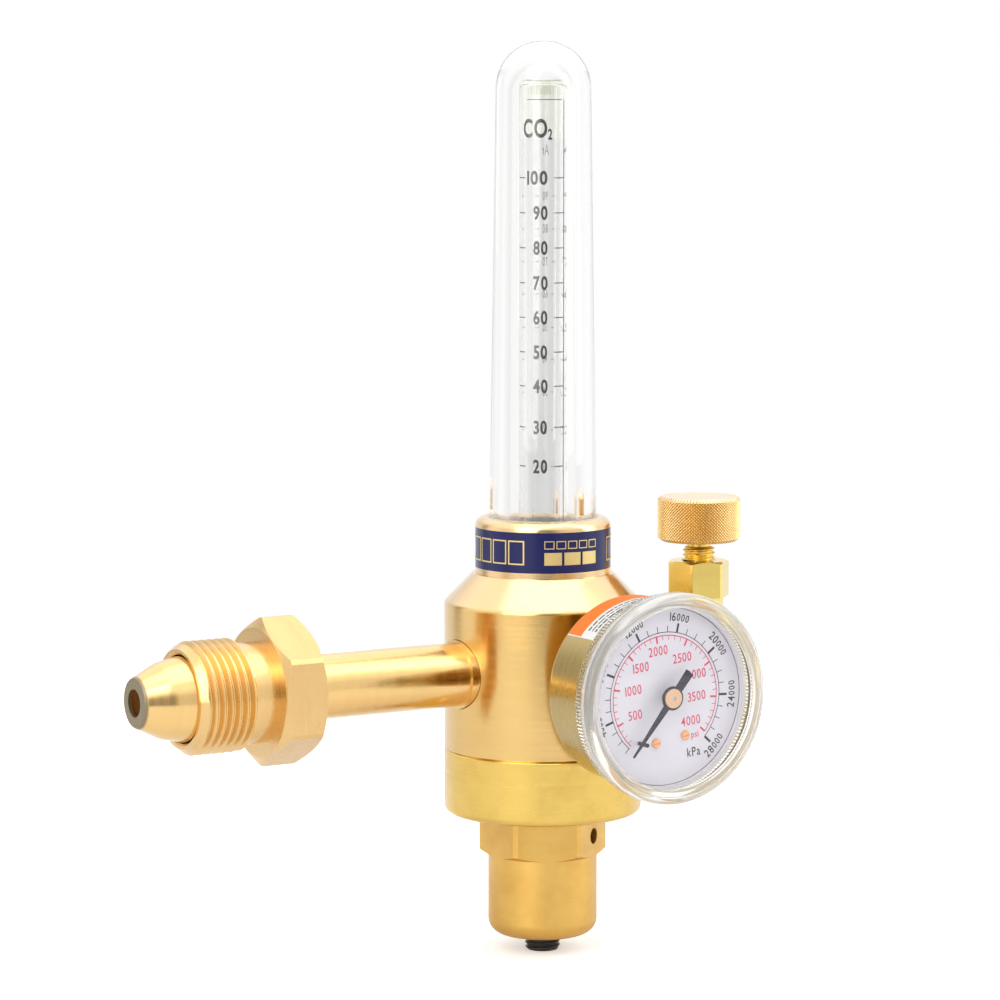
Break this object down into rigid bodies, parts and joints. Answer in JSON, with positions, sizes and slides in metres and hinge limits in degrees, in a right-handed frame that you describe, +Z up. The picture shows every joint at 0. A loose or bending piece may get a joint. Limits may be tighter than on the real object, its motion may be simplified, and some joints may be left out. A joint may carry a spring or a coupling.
{
  "type": "argon flowmeter regulator",
  "caption": "Shielding gas flowmeter regulator: brass body with cylinder nut, high pressure gauge, clear flow tube and outlet needle valve.",
  "frame": {"origin": "middle of the inlet nut's thread, on the inlet axis", "axes": "-X along the inlet towards the gas cylinder, -Y out of the gauge's face, +Z up along the flow tube"},
  "size_m": [0.1535, 0.0771, 0.2045],
  "materials": {
    "polished_brass": "polished turned brass",
    "satin_brass": "matte tumbled brass",
    "ring_brass": "bright turned brass",
    "nickel_copper": "copper coloured plating",
    "band_paint": "dark blue band with gold lines",
    "clear_plastic": "clear moulded plastic",
    "printed_clear": "clear plastic tube with a printed scale",
    "gauge_window": "clear moulded window",
    "dial_face": "pale dial with plain scales",
    "pointer_black": "blue-black",
    "label_paper": "white and orange sticker",
    "black_steel": "black oxide",
    "spring_steel": "bare spring steel",
    "seal_rubber": "black rubber",
    "white_plastic": "white low-friction plastic",
    "sintered_bronze": "sintered bronze",
    "steel_ball": "polished ball"
  },
  "bodies": {
    "regulator": {"body": "polished_brass", "label_band": "band_paint", "outer_tube": "clear_plastic", "tube_o_ring": "seal_rubber", "flow_tube": "printed_clear", "flow_tube_cap": "white_plastic", "flow_tube_o_ring": "seal_rubber", "float_stop": "white_plastic", "inlet_nipple": "polished_brass", "inlet_filter": "sintered_bronze", "diaphragm_housing": "ring_brass", "spring_bonnet": "satin_brass", "main_spring": "spring_steel", "diaphragm": "seal_rubber", "seat_nozzle": "polished_brass", "poppet_spring": "spring_steel", "gauge_case": "polished_brass", "gauge_socket": "polished_brass", "bourdon_tube": "satin_brass", "movement_frame": "satin_brass", "gauge_dial": "dial_face", "dial_screws": "nickel_copper", "stop_pin": "pointer_black", "gauge_lens": "gauge_window", "case_label": "label_paper", "valve_body": "polished_brass", "packing_nut": "polished_brass", "valve_packing": "white_plastic"},
    "nut": {"inlet_nut": "polished_brass"},
    "float": {"float_ball": "steel_ball"},
    "button": {"spring_button": "polished_brass"},
    "screw": {"adjusting_screw": "black_steel"},
    "plate": {"diaphragm_plate": "polished_brass"},
    "lifter": {"poppet": "polished_brass"},
    "pointer": {"gauge_pointer": "pointer_black", "pointer_bush": "nickel_copper", "pinion_shaft": "spring_steel"},
    "sector": {"sector_gear": "satin_brass"},
    "link": {"movement_link": "satin_brass"},
    "stem": {"valve_stem": "polished_brass"},
    "knob": {"valve_knob": "satin_brass"}
  },
  "joints": [
    {"name": "inlet_nut_spin", "type": "hinge", "parent": "regulator", "child": "nut", "pos_m": [0, 0, 0], "axis": [1, 0, 0], "continuous": true},
    {"name": "float_rise", "type": "slide", "parent": "regulator", "child": "float", "axis": [0, 0, 1], "range_m": [0, 0.0985]},
    {"name": "button_lift", "type": "slide", "parent": "regulator", "child": "button", "axis": [0, 0, 1], "range_m": [0, 0.00317], "deforming": ["main_spring"]},
    {"name": "adjusting_screw_turn", "type": "hinge", "parent": "button", "child": "screw", "pos_m": [0.0833, 0, -0.06], "axis": [0, 0, 1], "range_deg": [0, 1080]},
    {"name": "diaphragm_lift", "type": "slide", "parent": "regulator", "child": "plate", "axis": [0, 0, 1], "range_m": [0, 0.0005], "deforming": ["diaphragm"]},
    {"name": "poppet_lift", "type": "slide", "parent": "regulator", "child": "lifter", "axis": [0, 0, 1], "range_m": [0, 0.0005], "deforming": ["poppet_spring"]},
    {"name": "pointer_turn", "type": "hinge", "parent": "regulator", "child": "pointer", "pos_m": [0.0833, -0.0496, 0], "axis": [0, 1, 0], "range_deg": [0, 270]},
    {"name": "sector_swing", "type": "hinge", "parent": "regulator", "child": "sector", "pos_m": [0.09349, -0.0424, -0.00359], "axis": [0, 1, 0], "range_deg": [-34, 0]},
    {"name": "link_swing", "type": "hinge", "parent": "sector", "child": "link", "pos_m": [0.09736, -0.0432, -0.00458], "axis": [0, 1, 0], "range_deg": [0, 34]},
    {"name": "stem_lift", "type": "slide", "parent": "regulator", "child": "stem", "axis": [0, 0, 1], "range_m": [0, 0.00317]},
    {"name": "valve_knob_turn", "type": "hinge", "parent": "stem", "child": "knob", "pos_m": [0.1255, 0, 0.031], "axis": [0, 0, 1], "range_deg": [0, 1080]}
  ],
  "couplings": [
    {"joint": "adjusting_screw_turn", "follows": "button_lift", "rad_per_m": 5938.7},
    {"joint": "poppet_lift", "follows": "diaphragm_lift", "ratio": 1},
    {"joint": "sector_swing", "follows": "pointer_turn", "ratio": -0.125},
    {"joint": "link_swing", "follows": "pointer_turn", "ratio": 0.125},
    {"joint": "valve_knob_turn", "follows": "stem_lift", "rad_per_m": 5938.7}
  ]
}
